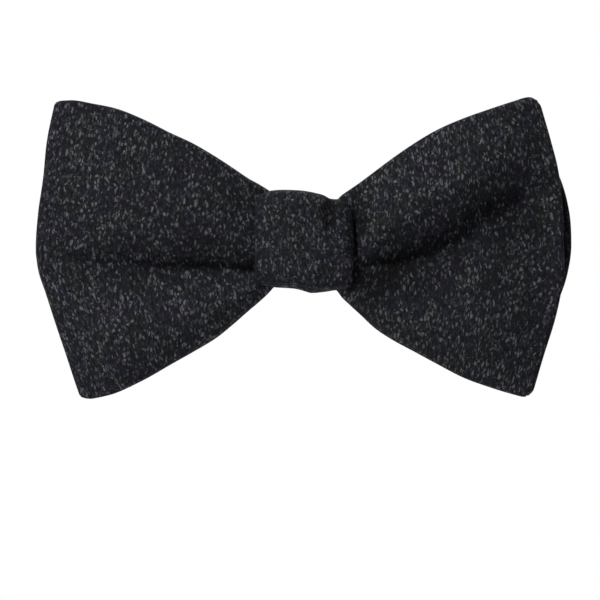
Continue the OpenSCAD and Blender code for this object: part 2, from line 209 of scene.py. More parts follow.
# ------------------------------------------------------------------ materials
class Nodes:
    def __init__(self, name):
        self.mat = bpy.data.materials.new(name)
        self.mat.use_nodes = True
        self.t = self.mat.node_tree
        self.b = self.t.nodes["Principled BSDF"]

    def add(self, kind, **values):
        n = self.t.nodes.new(kind)
        for k, v in values.items():
            if hasattr(n, k) and k not in n.inputs:
                setattr(n, k, v)
            else:
                n.inputs[k].default_value = v
        return n

    def link(self, a, b):
        self.t.links.new(a, b)

    def math(self, op, a, b=None, clamp=False):
        n = self.t.nodes.new("ShaderNodeMath")
        n.operation, n.use_clamp = op, clamp
        for i, v in enumerate((a, b)):
            if v is None:
                continue
            if isinstance(v, (int, float)):
                n.inputs[i].default_value = v
            else:
                self.link(v, n.inputs[i])
        return n.outputs[0]

    def ramp(self, fac, stops):
        n = self.t.nodes.new("ShaderNodeValToRGB")
        while len(n.color_ramp.elements) < len(stops):
            n.color_ramp.elements.new(0.5)
        for e, (p, c) in zip(n.color_ramp.elements, stops):
            e.position = p
            e.color = (*c, 1) if isinstance(c, tuple) else (c, c, c, 1)
        self.link(fac, n.inputs[0])
        return n.outputs["Color"]

    def mixc(self, fac, a, b, blend="MIX"):
        n = self.t.nodes.new("ShaderNodeMix")
        n.data_type, n.blend_type = "RGBA", blend
        for i, v in ((0, fac), (6, a), (7, b)):
            if isinstance(v, (int, float)):
                n.inputs[i].default_value = v
            elif isinstance(v, tuple):
                n.inputs[i].default_value = (*v, 1)
            else:
                self.link(v, n.inputs[i])
        return n.outputs[2]


def cloth_material(name, ground, fleck, fleck_share, weave_mm=0.42, sheen=0.12, rough=0.86, bump=0.35, tint=1.0):
    """Woven cloth with short pale slubs. The UV is in metres along the cloth."""
    k = Nodes(name)
    uv = k.add("ShaderNodeUVMap", uv_map="cloth")
    mm = k.add("ShaderNodeMapping"); mm.inputs["Scale"].default_value = (1000, 1000, 1000)
    k.link(uv.outputs[0], mm.inputs[0])
    co = mm.outputs[0]
    # slubs lean a little this way and that
    warp = k.add("ShaderNodeTexNoise", noise_dimensions="2D"); warp.inputs["Scale"].default_value = 0.55
    k.link(co, warp.inputs["Vector"])
    wc = k.add("ShaderNodeVectorMath", operation="SUBTRACT"); wc.inputs[1].default_value = (0.5, 0.5, 0.5)
    k.link(warp.outputs["Color"], wc.inputs[0])
    ws = k.add("ShaderNodeVectorMath", operation="SCALE"); ws.inputs["Scale"].default_value = 1.3
    k.link(wc.outputs[0], ws.inputs[0])
    wa = k.add("ShaderNodeVectorMath", operation="ADD")
    k.link(co, wa.inputs[0]); k.link(ws.outputs[0], wa.inputs[1])

    rough_edge = k.add("ShaderNodeTexNoise", noise_dimensions="2D")
    rough_edge.inputs["Scale"].default_value = 3.4
    rough_edge.inputs["Detail"].default_value = 1.0
    k.link(co, rough_edge.inputs["Vector"])
    edge_f = k.math("MULTIPLY", k.math("SUBTRACT", rough_edge.outputs["Fac"], 0.5), 0.42)

    def slubs(cell_x, cell_y, lean, size, keep, seed):
        """One short slub in some of the cells of a random mesh, in mm, each with its own strength."""
        m = k.add("ShaderNodeMapping")
        m.inputs["Rotation"].default_value = (0, 0, math.radians(lean))
        m.inputs["Scale"].default_value = (1 / cell_x, 1 / cell_y, 1)
        m.inputs["Location"].default_value = (seed * 17.3, seed * 9.1, 0)
        k.link(wa.outputs[0], m.inputs[0])
        v = k.add("ShaderNodeTexVoronoi", voronoi_dimensions="2D", feature="F1")
        v.inputs["Scale"].default_value = 1.0
        v.inputs["Randomness"].default_value = 1.0
        k.link(m.outputs[0], v.inputs["Vector"])
        c = k.add("ShaderNodeSeparateColor")
        k.link(v.outputs["Color"], c.inputs[0])
        r = k.add("ShaderNodeMapRange", interpolation_type="SMOOTHSTEP")
        r.inputs["From Min"].default_value = size
        r.inputs["From Max"].default_value = size * 0.35
        k.link(k.math("ADD", v.outputs["Distance"], edge_f), r.inputs["Value"])
        on = k.math("MULTIPLY", k.math("SUBTRACT", c.outputs[0], 1 - keep), 1 / keep, True)
        return k.math("MULTIPLY", r.outputs["Result"], k.math("POWER", on, 1.3))

    d = fleck_share
    s1 = slubs(0.84, 1.62, 3, 0.41, 0.36 * d, 1)
    s2 = slubs(0.78, 1.35, -27, 0.39, 0.23 * d, 2)
    s3 = slubs(0.72, 1.25, 22, 0.39, 0.25 * d, 3)
    s4 = slubs(0.60, 0.82, 0, 0.43, 0.36 * d, 4)
    fleck_f = k.math("MAXIMUM", k.math("MAXIMUM", s1, s2), k.math("MAXIMUM", s3, k.math("MULTIPLY", s4, 0.55)))
    # threads of the weave
    w1 = k.add("ShaderNodeTexWave", wave_type="BANDS", bands_direction="X", wave_profile="SIN")
    w2 = k.add("ShaderNodeTexWave", wave_type="BANDS", bands_direction="Y", wave_profile="SIN")
    for w in (w1, w2):
        w.inputs["Scale"].default_value = 1 / (weave_mm * 3.2)
        w.inputs["Distortion"].default_value = 1.1
        w.inputs["Detail"].default_value = 1.0
        w.inputs["Detail Scale"].default_value = 1.2
        k.link(co, w.inputs["Vector"])
    weave = k.math("MULTIPLY", w1.outputs["Fac"], w2.outputs["Fac"])
    fine = k.add("ShaderNodeTexNoise", noise_dimensions="2D")
    fine.inputs["Scale"].default_value = 2.6
    fine.inputs["Detail"].default_value = 3.0
    k.link(co, fine.inputs["Vector"])
    hue = k.add("ShaderNodeTexNoise", noise_dimensions="2D")
    hue.inputs["Scale"].default_value = 0.16
    hue.inputs["Detail"].default_value = 2.0
    k.link(co, hue.inputs["Vector"])
    g = ground
    tone = k.ramp(hue.outputs["Fac"], [
        (0.30, (g[0] * 0.92, g[1] * 1.06, g[2] * 0.93)),
        (0.45, g),
        (0.55, (g[0] * (1 - .05 * tint), g[1], g[2] * (1 + .28 * tint))),
        (0.66, (g[0] * 1.12, g[1] * 0.97, g[2] * 1.2)),
        (0.8, (g[0] * 0.9, g[1] * 1.08, g[2] * 1.05))])
    gm = k.add("ShaderNodeMapping"); gm.inputs["Scale"].default_value = (1.75, 0.80, 1)
    k.link(co, gm.inputs[0])
    grain = k.add("ShaderNodeTexNoise", noise_dimensions="2D")
    grain.inputs["Scale"].default_value = 1.0
    grain.inputs["Detail"].default_value = 3.0
    grain.inputs["Roughness"].default_value = 0.62
    k.link(gm.outputs[0], grain.inputs["Vector"])
    grain_c = k.ramp(grain.outputs["Fac"], [(0.30, 0.42), (0.46, 0.82), (0.55, 1.25), (0.68, 2.1)])
    tone = k.mixc(1.0, tone, grain_c, "MULTIPLY")
    tone = k.mixc(k.math("MULTIPLY", weave, 0.40), tone, tuple(1.7 * c for c in g))
    fine_f = k.math("MULTIPLY", k.math("SUBTRACT", fine.outputs["Fac"], 0.5), 2.4)
    tone = k.mixc(k.math("MULTIPLY", k.math("MAXIMUM", fine_f, 0.0), 0.55, True), tone, tuple(2.3 * c for c in g))
    fc = k.ramp(hue.outputs["Fac"], [(0.35, tuple(fleck[i] * (1.0, 1.0, .97)[i] for i in range(3))),
                                     (0.6, tuple(fleck[i] * (.98, .99, 1.05)[i] for i in range(3)))])
    colour = k.mixc(fleck_f, tone, fc)
    # painted shade: the crease attribute takes the colour towards black in and below the creases, in the knot's pleat,
    # at its edges and along its lap
    at = k.add("ShaderNodeAttribute", attribute_name="crease")
    colour = k.mixc(k.math("MULTIPLY", at.outputs["Fac"], 1.0, True), colour, k.mixc(0.93, colour, (0.0, 0.0, 0.0)))
    k.link(colour, k.b.inputs["Base Color"])
    rr = k.math("SUBTRACT", rough + 0.05, k.math("MULTIPLY", fleck_f, 0.10))
    k.link(rr, k.b.inputs["Roughness"])
    k.b.inputs["Specular IOR Level"].default_value = 0.10
    k.b.inputs["Sheen Weight"].default_value = sheen
    k.b.inputs["Sheen Roughness"].default_value = 0.5
    k.b.inputs["Sheen Tint"].default_value = (0.72, 0.76, 0.9, 1)
    h = k.math("ADD", k.math("MULTIPLY", weave, 0.6), k.math("ADD", k.math("MULTIPLY", fine.outputs["Fac"], 0.35), k.math("MULTIPLY", fleck_f, 0.5)))
    bm_ = k.add("ShaderNodeBump")
    bm_.inputs["Strength"].default_value = bump
    bm_.inputs["Distance"].default_value = 0.00018
    k.link(h, bm_.inputs["Height"])
    k.link(bm_.outputs[0], k.b.inputs["Normal"])
    return k.mat


def metal_material():
    k = Nodes("nickel")
    co = k.add("ShaderNodeTexCoord")
    fine = k.add("ShaderNodeTexNoise")
    fine.inputs["Scale"].default_value = 2600
    fine.inputs["Detail"].default_value = 4
    k.link(co.outputs["Object"], fine.inputs["Vector"])
    wide = k.add("ShaderNodeTexNoise")
    wide.inputs["Scale"].default_value = 240
    k.link(co.outputs["Object"], wide.inputs["Vector"])
    k.link(k.ramp(wide.outputs["Fac"], [(0.3, (.50, .49, .47)), (0.55, (.66, .655, .645)), (0.8, (.73, .725, .71))]), k.b.inputs["Base Color"])
    k.b.inputs["Metallic"].default_value = 1.0
    k.link(k.math("ADD", 0.2, k.math("MULTIPLY", fine.outputs["Fac"], 0.2)), k.b.inputs["Roughness"])
    bm_ = k.add("ShaderNodeBump")
    bm_.inputs["Strength"].default_value = 0.2
    bm_.inputs["Distance"].default_value = 0.00002
    k.link(fine.outputs["Fac"], bm_.inputs["Height"])
    k.link(bm_.outputs[0], k.b.inputs["Normal"])
    return k.mat


def thread_material():
    k = Nodes("thread")
    co = k.add("ShaderNodeTexCoord")
    w = k.add("ShaderNodeTexWave", wave_type="BANDS", bands_direction="DIAGONAL")
    w.inputs["Scale"].default_value = 900
    k.link(co.outputs["Object"], w.inputs["Vector"])
    k.link(k.ramp(w.outputs["Fac"], [(0.1, (.020, .021, .025)), (0.9, (.085, .088, .102))]), k.b.inputs["Base Color"])
    k.b.inputs["Roughness"].default_value = 0.55
    k.b.inputs["Sheen Weight"].default_value = 0.3
    bm_ = k.add("ShaderNodeBump")
    bm_.inputs["Strength"].default_value = 0.6
    bm_.inputs["Distance"].default_value = 0.00005
    k.link(w.outputs["Fac"], bm_.inputs["Height"])
    k.link(bm_.outputs[0], k.b.inputs["Normal"])
    return k.mat


GROUND = (0.0142, 0.0147, 0.0171)
FLECK = (0.171, 0.175, 0.185)
face_mat = cloth_material("flecked_wool", GROUND, FLECK, 1.0, sheen=0.03)
lining_mat = cloth_material("lining_twill", (0.0090, 0.0096, 0.0125), (0.022, 0.023, 0.028), 0.5, weave_mm=0.3, sheen=0.06, rough=0.7, bump=0.25)
band_mat = cloth_material("band_cloth", (0.0115, 0.0122, 0.0155), (0.095, 0.10, 0.11), 0.9, sheen=0.03)
thread_mat = thread_material()
metal_mat = metal_material()


# ------------------------------------------------------------------ the bow
PLY, CLOTH_T, FOLD_R = 2.0, 0.5, 2.6
COLLAR_R, BAND_W, BAND_T = 58.0, 15.0, 1.2
WRAP_T = 1.4
WRAP_BACK = -COLLAR_R - 0.5
BAND_Y = WRAP_BACK - WRAP_T - 0.4
REAR_Y = BAND_Y - BAND_T - 0.2
STEP_Y = PLY + 0.1
FRONT_Y = REAR_Y - 3 * PLY - 0.2
FOLD_SEP = 2 * FOLD_R - PLY

top_l = [[0, 9.6], [5, 9.7], [6.4, 10], [7.6, 10.9], [8.8, 11.7], [10.6, 12.8], [12.6, 13.9], [16, 16.2], [20, 18.8],
         [25, 21.7], [30, 24], [36, 27], [42, 29.4], [48, 30.7], [52, 31.4], [56, 31.2], [60, 31]]
bot_l = [[0, -9.6], [5, -9.7], [6.4, -10], [7.6, -11.3], [8.8, -12.5], [10.6, -14.1], [12.6, -15.8], [16, -18.8], [20, -22],
         [25, -25], [30, -27.8], [36, -31.2], [42, -34], [46, -35.1], [50, -35.7], [60, -36]]
top_r = [[0, 9.6], [3, 8.9], [6.2, 8.3], [7.4, 9], [8.6, 10.1], [10.9, 11.7], [12.6, 12.9], [16, 15.5], [20, 18.5],
         [25, 21.9], [30, 24.8], [36, 27.4], [42, 29.5], [47, 31.1], [50.5, 32.1], [53, 31.9], [60, 31.5]]
bot_r = [[0, -9.6], [3, -10], [6.2, -10.3], [7.4, -11.2], [8.6, -12.8], [10.9, -15.1], [12.6, -16.8], [16, -20], [20, -22.6],
         [25, -25.2], [30, -27.8], [36, -30.8], [42, -32.9], [47, -34.4], [50, -35.1], [60, -36]]
end_loop_l = [[-1, 50.7], [-0.75, 53.3], [-0.5, 56.1], [-0.3, 58.3], [-0.15, 60.0], [0, 60.6],
              [0.25, 60.0], [0.5, 58.8], [0.75, 58.0], [1, 56.4]]
end_blade_r = [[-1, 51.4], [-0.75, 53.8], [-0.5, 56.4], [-0.3, 57.9], [-0.15, 58.6], [0, 58.5],
               [0.25, 58.3], [0.5, 57.4], [0.75, 55.4], [1, 53.1]]
end_loop_r = [[-1, 48.5], [-0.75, 52.4], [-0.5, 56.4], [-0.3, 59.0], [-0.15, 60.2], [0, 60.7],
              [0.25, 60.2], [0.5, 58.0], [0.75, 53.6], [1, 49.0]]
crease_l = [[0, -2], [8, -4.2], [11, -5.7], [20, -5.1], [35, -4.8], [50, -4.6], [62, -4.2]]
crease_r = [[0, -2], [8, -5], [11, -6.2], [14.4, -5.2], [20, -2.9], [25, -1.1], [30, 1.4], [35, 4.2], [40, 8.2],
            [45, 10.8], [50, 11.8], [62, 13]]
lobe_l = [[0, 0.7], [8, 1.2], [9.8, 1.9], [11, 3.0], [13, 3.9], [17, 4.8], [22, 5.3], [30, 5.1], [40, 4.4], [50, 2.9], [62, 1.2]]
lobe_r = [[0, 0.7], [10.8, 1.2], [13, 3.6], [17, 6.3], [22, 7.4], [30, 6.9], [40, 6.2], [47, 4.4], [54, 1.8], [62, 1]]
open_1 = [[0, 0], [10.8, 0], [16, 0.7], [25, 1.5], [40, 1.7], [52, 1], [62, 0.6]]
open_2 = [[0, 0], [10.8, 0], [16, 0.3], [25, 0.7], [40, 0.8], [52, 0.5], [62, 0.3]]


RIM, RIM_B = 0.85, 0.62


def top(s, x, k): return k * curve(top_l if s < 0 else top_r, x) - RIM
def bot(s, x, k): return k * curve(bot_l if s < 0 else bot_r, x) + RIM_B
def crease(s, x): return curve(crease_l if s < 0 else crease_r, x)


def lobe_shape(s, w):
    """0 in the crease, 1 on the crown. The upper lobe hangs steeply over the crease."""
    t = np.minimum(1, np.abs(w))
    e = np.where(w > 0, 0.67 if s > 0 else 0.66, 1.45 if s > 0 else 1.3)
    return np.sin(np.radians(155 * np.power(t, e)))


def body_of_lobe(s, x, w):
    return curve(lobe_l if s < 0 else lobe_r, x) * lobe_shape(s, w)


def wrinkles(s, x, w, lay):
    """Fine gathers that fan out of the knot, and slack in the cloth further out, in mm."""
    near = np.exp(-np.maximum(x - 10, 0) / 8.0) * smooth(7, 12, x)
    g = (np.sin(w * 9 + 0.8 * s + 0.08 * x) * 0.30 + np.sin(w * 17 + 2.1 * lay + 1.7 * s) * 0.12) * near
    slack = noise(x * s, w * 30, 11 + lay + (3 if s > 0 else 0), 26) * 0.30 * smooth(14, 30, x)
    return g + slack


def puff(s, x, w, lay):
    return body_of_lobe(s, x, w) + (wrinkles(s, x, w, lay) if lay == 1 else 0.4 * wrinkles(s, x, w, lay))


def share(s, w):
    a, b, c = top(s, 55, 1), bot(s, 55, 1), crease(s, 55)
    return 2 * (np.where(w < 0, mix(c, b, -w), mix(c, a, w)) - b) / (a - b) - 1


def ply_end(s, lay, v):
    if s < 0:
        return curve(end_loop_l, v) - FOLD_R if lay < 3 else 0.95 * curve(end_loop_l, v) - RIM
    return curve(end_loop_r, v) - FOLD_R if lay > 1 else curve(end_blade_r, v) - RIM


def ply_k(s, lay):
    return (1 if lay < 3 else 0.95) if s < 0 else (0.965 if lay > 1 else 1)


def ply_x(s, lay, u, w): return 55 * u + (ply_end(s, lay, share(s, w)) - 55) * u ** 3


def ply_z(s, lay, u, w):
    one = np.ones_like(w)
    edge = np.where(w < 0, bot(s, ply_x(s, lay, u, -one), ply_k(s, lay)), top(s, ply_x(s, lay, u, one), ply_k(s, lay)))
    return mix(crease(s, ply_x(s, lay, u, 0 * w)), edge, np.abs(w))


def turned(s, lay, u, w, x, z):
    """A blade's outer corners are turned with a small radius. A loop's are turned on the fold."""
    if (lay < 3) if s < 0 else (lay > 1):
        return x, z
    r = 1.2
    one = np.ones_like(w)
    lim = np.where(w < 0, ply_z(s, lay, u, -one), ply_z(s, lay, u, one))
    a = np.clip(1 - (ply_end(s, lay, share(s, w)) - x) / r, 0, 1)
    b = np.clip(1 - np.abs(lim - z) / r, 0, 1)
    f = np.where((a > 0) & (b > 0), np.maximum(a, b) / np.maximum(np.hypot(a, b), 1e-9), 1)
    return x - r * a * (1 - f), z - np.sign(w) * r * b * (1 - f)


def sink(s, x, w):
    """How far the crease is drawn back, in mm."""
    reach = smooth(15, 21, x) * (1 - smooth(46, 54, x) if s > 0 else 1 - smooth(44, 56, x))
    return (1.3 if s > 0 else 0.9) * reach * (1 - smooth(0, 0.32, np.abs(w)))


def painted_crease_shade(s, x, z):
    """0 to 1, how much painted shade darkens the cloth in and below the crease and beside the knot, from the distance
    below the crease line in mm.
    """
    d = crease(s, x) - z
    if s > 0:
        # right wing: painted shadow in and below the crease, a painted dark patch at its outer end, painted shadow
        # beside the knot and broad painted shade below the crease
        run = smooth(11, 13, x) * (1 - smooth(46, 52, x)) * (1 - 0.25 * np.exp(-((x - 35) / 5.0) ** 2))
        end = np.exp(-((x - 45.5) / 4.0) ** 2 - ((d + 0.2) / 3.0) ** 2) * 0.14
        low, mid_ = mix(8.4, 7.6, smooth(14, 30, x)), mix(3.6, 2.3, smooth(17, 32, x))
        band = np.exp(-((d - mid_) / np.where(d > mid_, low, 3.2)) ** 2) * (0.80 - 0.30 * smooth(18, 28, x) - 0.17 * smooth(32, 42, x))
        beside_knot_shadow = 0.66 * np.exp(-((x - 12.6) / 2.6) ** 2 - ((z - 5.6) / 4.2) ** 2)
        wide = 0.44 * np.exp(-((d - 7.8) / 5.4) ** 2) * smooth(13, 20, x) * (1 - smooth(50, 57, x))
        return np.clip(np.maximum(np.maximum(band * run + end, beside_knot_shadow), wide), 0, 1)
    # left wing: painted shadow along the crease and broad painted shade in the hollow below it
    run = smooth(10.5, 12, x) * (1 - smooth(47, 55, x))
    band = np.exp(-((d - 0.9) / np.where(d > 0.9, 2.2, 1.5)) ** 2) * (0.34 - 0.08 * smooth(25, 45, x))
    hollow_shade = 0.24 * np.exp(-((d - 3.6) / 3.8) ** 2 - ((x - 38) / 14.0) ** 2)
    return np.clip(band * run + hollow_shade, 0, 1)


def face_1(s, x, w): return FRONT_Y - puff(s, x, w, 1) - curve(open_1, x) - curve(open_2, x) + sink(s, x, w)


def face_2(s, x, w, u):
    p = body_of_lobe(s, x, w)
    free = STEP_Y + 0.65 * p + curve(open_1, x)
    return face_1(s, x, w) + (mix(free, FOLD_SEP, smooth(0.8, 1, u)) if s < 0 else free)


def face_3(s, x, w, u):
    p = body_of_lobe(s, x, w)
    flat = FRONT_Y + 2 * STEP_Y - 0.1 * p + sink(s, x, w)
    return flat if s < 0 else mix(flat, face_2(s, x, w, u) + FOLD_SEP, smooth(0.8, 1, u))


def face_y(s, lay, x, w, u):
    return face_1(s, x, w) if lay == 1 else face_2(s, x, w, u) if lay == 2 else face_3(s, x, w, u)


def ply_pt(s, lay, u, w, d, front):
    x, z = ply_x(s, lay, u, w), ply_z(s, lay, u, w)
    y = face_y(s, lay, x, w, u)
    x, z = turned(s, lay, u, w, x, z)
    return np.stack([s * x, (y + d) if front else (y + PLY - d), z], -1)


def fold_pt(s, lay, w, d, a):
    u = np.ones_like(w)
    x, z = ply_x(s, lay, u, w), ply_z(s, lay, u, w)
    y = face_y(s, lay, x, w, u) + FOLD_R
    turn = 0.12 if s < 0 else 0.9
    z = z - np.sign(w) * turn * (1 - math.sin(math.radians(abs(a)))) * smooth(0.9, 1, np.abs(w))
    return np.stack([s * (x + (FOLD_R - d) * math.cos(math.radians(a))), y + (FOLD_R - d) * math.sin(math.radians(a)), z], -1)


NW = 96
ws = np.linspace(-1, 1, NW + 1)
ws = np.sign(ws) * np.abs(ws) ** 1.05
ws = np.sort(np.concatenate([ws, [-0.993, -0.986, 0.986, 0.993]]))
NW = len(ws) - 1
us = np.concatenate([np.linspace(0.02, 0.14, 10, endpoint=False), np.linspace(0.14, 0.3, 30, endpoint=False),
                     np.linspace(0.3, 0.9, 56, endpoint=False), np.linspace(0.9, 0.978, 10, endpoint=False),
                     np.linspace(0.978, 1, 8)])
folds = np.linspace(-78, 78, 13)


def cols_for(which):
    if which == "front":
        return ([("back", -1, 2, u) for u in us] + [("fold", -1, 1, a) for a in folds[::-1]]
                + [("front", -1, 1, u) for u in us[::-1]] + [("front", 1, 1, u) for u in us])
    return ([("front", 1, 2, u) for u in us] + [("fold", 1, 2, a) for a in folds]
            + [("back", 1, 3, u) for u in us[::-1]] + [("back", -1, 3, u) for u in us])


def grid(cols, d):
    rows = []
    for kind, s, lay, q in cols:
        if kind == "fold":
            rows.append(fold_pt(s, lay, ws, d, q))
        else:
            rows.append(ply_pt(s, lay, np.full_like(ws, q), ws, d, kind == "front"))
    return np.array(rows)


def settle(sheet_mm, pin, out_y, grow, cap, seed):
    """Cloth simulation of one ply, pinned where pin is 1. The sheet is cut a little too
    large and buckles. Returns how far each point moves, in mm, mostly outwards."""
    n, m, _ = sheet_mm.shape
    ci = np.unique(np.linspace(0, n - 1, 64).round().astype(int))
    cj = np.unique(np.linspace(0, m - 1, 33).round().astype(int))
    start = sheet_mm[np.ix_(ci, cj)]
    a, b, _ = start.shape
    r = np.random.default_rng(seed)
    jig = start + np.stack([np.zeros((a, b)), out_y * 0.05 * r.random((a, b)), np.zeros((a, b))], -1)
    mesh = bpy.data.meshes.new("settle")
    mesh.from_pydata([tuple(v) for v in (jig * 0.01).reshape(-1, 3)], [],
                     [(i * b + j, (i + 1) * b + j, (i + 1) * b + j + 1, i * b + j + 1) for i in range(a - 1) for j in range(b - 1)])
    o = bpy.data.objects.new("settle", mesh)
    scene.collection.objects.link(o)
    g = o.vertex_groups.new(name="pin")
    pw = pin[np.ix_(ci, cj)].ravel()
    for v in range(a * b):
        g.add([v], float(pw[v]), "REPLACE")
    mod = o.modifiers.new("cloth", "CLOTH")
    c = mod.settings
    c.quality, c.mass, c.air_damping = 6, 0.3, 3.0
    c.tension_stiffness = c.compression_stiffness = 18
    c.shear_stiffness, c.bending_stiffness = 6, 0.35
    c.vertex_group_mass = "pin"
    c.shrink_min = -grow
    c.effector_weights.gravity = 0
    mod.collision_settings.use_collision = False
    mod.collision_settings.use_self_collision = False
    mod.point_cache.frame_start, mod.point_cache.frame_end = 1, 24
    for f in range(1, 25):
        scene.frame_set(f)
    ev = o.evaluated_get(bpy.context.evaluated_depsgraph_get()).to_mesh()
    co = np.zeros(len(ev.vertices) * 3)
    ev.vertices.foreach_get("co", co)
    bpy.data.objects.remove(o)
    scene.frame_set(1)
    move = co.reshape(a, b, 3) * 100 - jig
    move[~np.isfinite(move)] = 0
    move = move / np.maximum(1, np.linalg.norm(move, axis=-1, keepdims=True) / cap)
    inward = move[..., 1] * out_y < 0
    move[..., 1] = np.where(inward, move[..., 1] * 0.2, move[..., 1])
    move[..., 0] *= 0.4
    move[..., 2] *= 0.4
    full = np.zeros((n, m, 3))
    for k in range(3):
        rows = np.array([np.interp(np.arange(m), cj, move[i, :, k]) for i in range(a)])
        full[:, :, k] = np.array([np.interp(np.arange(n), ci, rows[:, j]) for j in range(m)]).T
    for _ in range(3):      # take the coarse grid's corners off
        full[1:-1] = (full[:-2] + 2 * full[1:-1] + full[2:]) / 4
        full[:, 1:-1] = (full[:, :-2] + 2 * full[:, 1:-1] + full[:, 2:]) / 4
    return full


def strip(name, which, nodes):
    cols = cols_for(which)
    outer, inner = grid(cols, 0.0), grid(cols, PLY)
    flat_uv = outer.copy()
    lay = "front" if which == "front" else "back"
    idx = [i for i, c in enumerate(cols) if c[0] == lay]
    sub = outer[idx]
    rim = smooth(0.97, 0.80, np.abs(ws))[None, :]
    ux = np.array([cols[i][3] for i in idx])[:, None]
    free = smooth(0.22, 0.34, ux) * (1 - smooth(0.88, 0.97, ux)) * rim
    move = settle(sub, 1 - free, -1.0 if which == "front" else 1.0, 0.012, 1.1, 5)
    move *= smooth(0.0, 0.5, free)[..., None]
    outer[idx] += move
    inner[idx] += move
    print("settled", name, "most", round(float(np.abs(move).max()), 2), "mean", round(float(np.abs(move[..., 1]).mean()), 3))
    mid = (flat_uv[1:] - flat_uv[:-1])
    step = np.linalg.norm(mid[:, NW // 2], axis=1)
    along = np.concatenate([[0], np.cumsum(step)])
    uv = np.zeros(outer.shape[:2] + (3,))
    for i, (kind, sd, lay, q) in enumerate(cols):
        # the third uv column is painted shade: on the front strip, the crease shadows
        if which == "front" and kind == "front":
            uv[i, :, 2] = painted_crease_shade(sd, np.abs(flat_uv[i, :, 0]), flat_uv[i, :, 2])
        # painted shadow on the back strip's right fold, where it lies behind the front blade's edge
        elif which == "back" and sd > 0 and (kind == "fold" and q < 20 or kind == "front" and q > 0.93):
            uv[i, :, 2] = 0.62
    # cloth lies flat in x and z where it faces front, so the slubs stand upright
    uv[..., 0] = along[:, None] * MM + (0.3 if which == "back" else 0.0)
    uv[..., 1] = flat_uv[..., 2] * MM + 0.1
    o = slab(name, outer * MM, inner * MM, uv, [face_mat, lining_mat], corner=1.0)
    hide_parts(*nodes)
    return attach(o, "bow")


front_bow = strip("front_bow", "front", ["front_bow_face", "front_bow_interlining", "front_bow_lining"])
back_bow = strip("back_bow", "back", ["back_bow_face", "back_bow_interlining", "back_bow_lining"])


# ------------------------------------------------------------------ the knot
knot_top = [[-11, 10.9], [-7, 11.3], [-1.2, 11.2], [1.9, 10.85], [4.5, 10.4], [5.9, 10.1], [7.9, 9.35], [11, 9.2]]
knot_bot = [[-11, -10.5], [-7, -10.75], [-2.5, -11.0], [0, -11.5], [2, -11.95], [6, -11.7], [8.5, -11.4], [11, -11.3]]
knot_front = [[-11, 3.6], [-8, 4.4], [-3, 5.0], [2, 5.1], [7, 4.6], [11, 3.9]]


